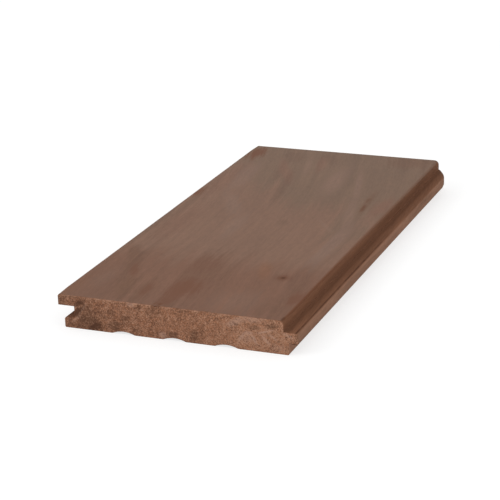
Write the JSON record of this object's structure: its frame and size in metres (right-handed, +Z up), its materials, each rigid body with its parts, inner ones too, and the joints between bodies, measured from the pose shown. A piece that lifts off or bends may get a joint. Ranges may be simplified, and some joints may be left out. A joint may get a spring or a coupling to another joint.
{
  "type": "overlay floorboard",
  "caption": "Thin solid hardwood strip flooring board with a tongue on one long edge, a groove on the other and shallow relief channels along the underside, in a short sawn length.",
  "frame": {"origin": "middle of the footprint, on the underside that lies on the floor", "axes": "+X across the board from groove to tongue, +Y along the grain, +Z up through the wear face"},
  "size_m": [0.0882, 0.19, 0.012],
  "materials": {
    "hardwood": "satin"
  },
  "bodies": {
    "root": {"floorboard": "hardwood"}
  },
  "joints": []
}
